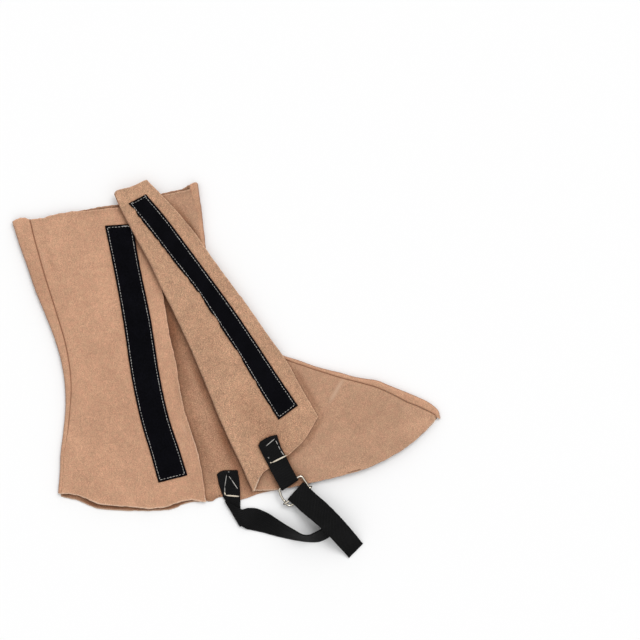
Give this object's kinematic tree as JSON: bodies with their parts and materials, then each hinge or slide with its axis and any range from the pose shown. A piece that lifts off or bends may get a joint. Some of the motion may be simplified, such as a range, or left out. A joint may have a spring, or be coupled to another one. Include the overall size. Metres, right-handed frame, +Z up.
{
  "type": "leather welding legging",
  "caption": "Suede leather legging for shin, ankle and instep, laid flat with its hook-and-loop closure open and its webbing stirrup strap threaded in a wire slider.",
  "frame": {"origin": "middle of the laid-out piece, on the surface it lies on", "axes": "+X from the back of the leg to the toe, +Y up the leg, +Z up from the surface"},
  "size_m": [0.4955, 0.4382, 0.0234],
  "materials": {
    "suede_inner": "suede, matt, soft mottle",
    "suede_back": "suede, matt, soft mottle",
    "suede_front": "suede, matt, with a rougher nap inside",
    "loop_tape": "black brushed loop tape",
    "hook_tape": "black hook tape",
    "stirrup_webbing": "black ribbed webbing",
    "buckle_webbing": "black ribbed webbing",
    "frame_wire": "nickel-plated wire",
    "bar_wire": "nickel-plated wire"
  },
  "bodies": {
    "root": {"medial_panel": "suede_inner", "lateral_back_panel": "suede_back", "lateral_front_panel": "suede_front", "loop_strip": "loop_tape", "hook_strip": "hook_tape", "stirrup_strap": "stirrup_webbing", "buckle_strap": "buckle_webbing", "slider_frame": "frame_wire", "slider_bar": "bar_wire"}
  },
  "joints": []
}
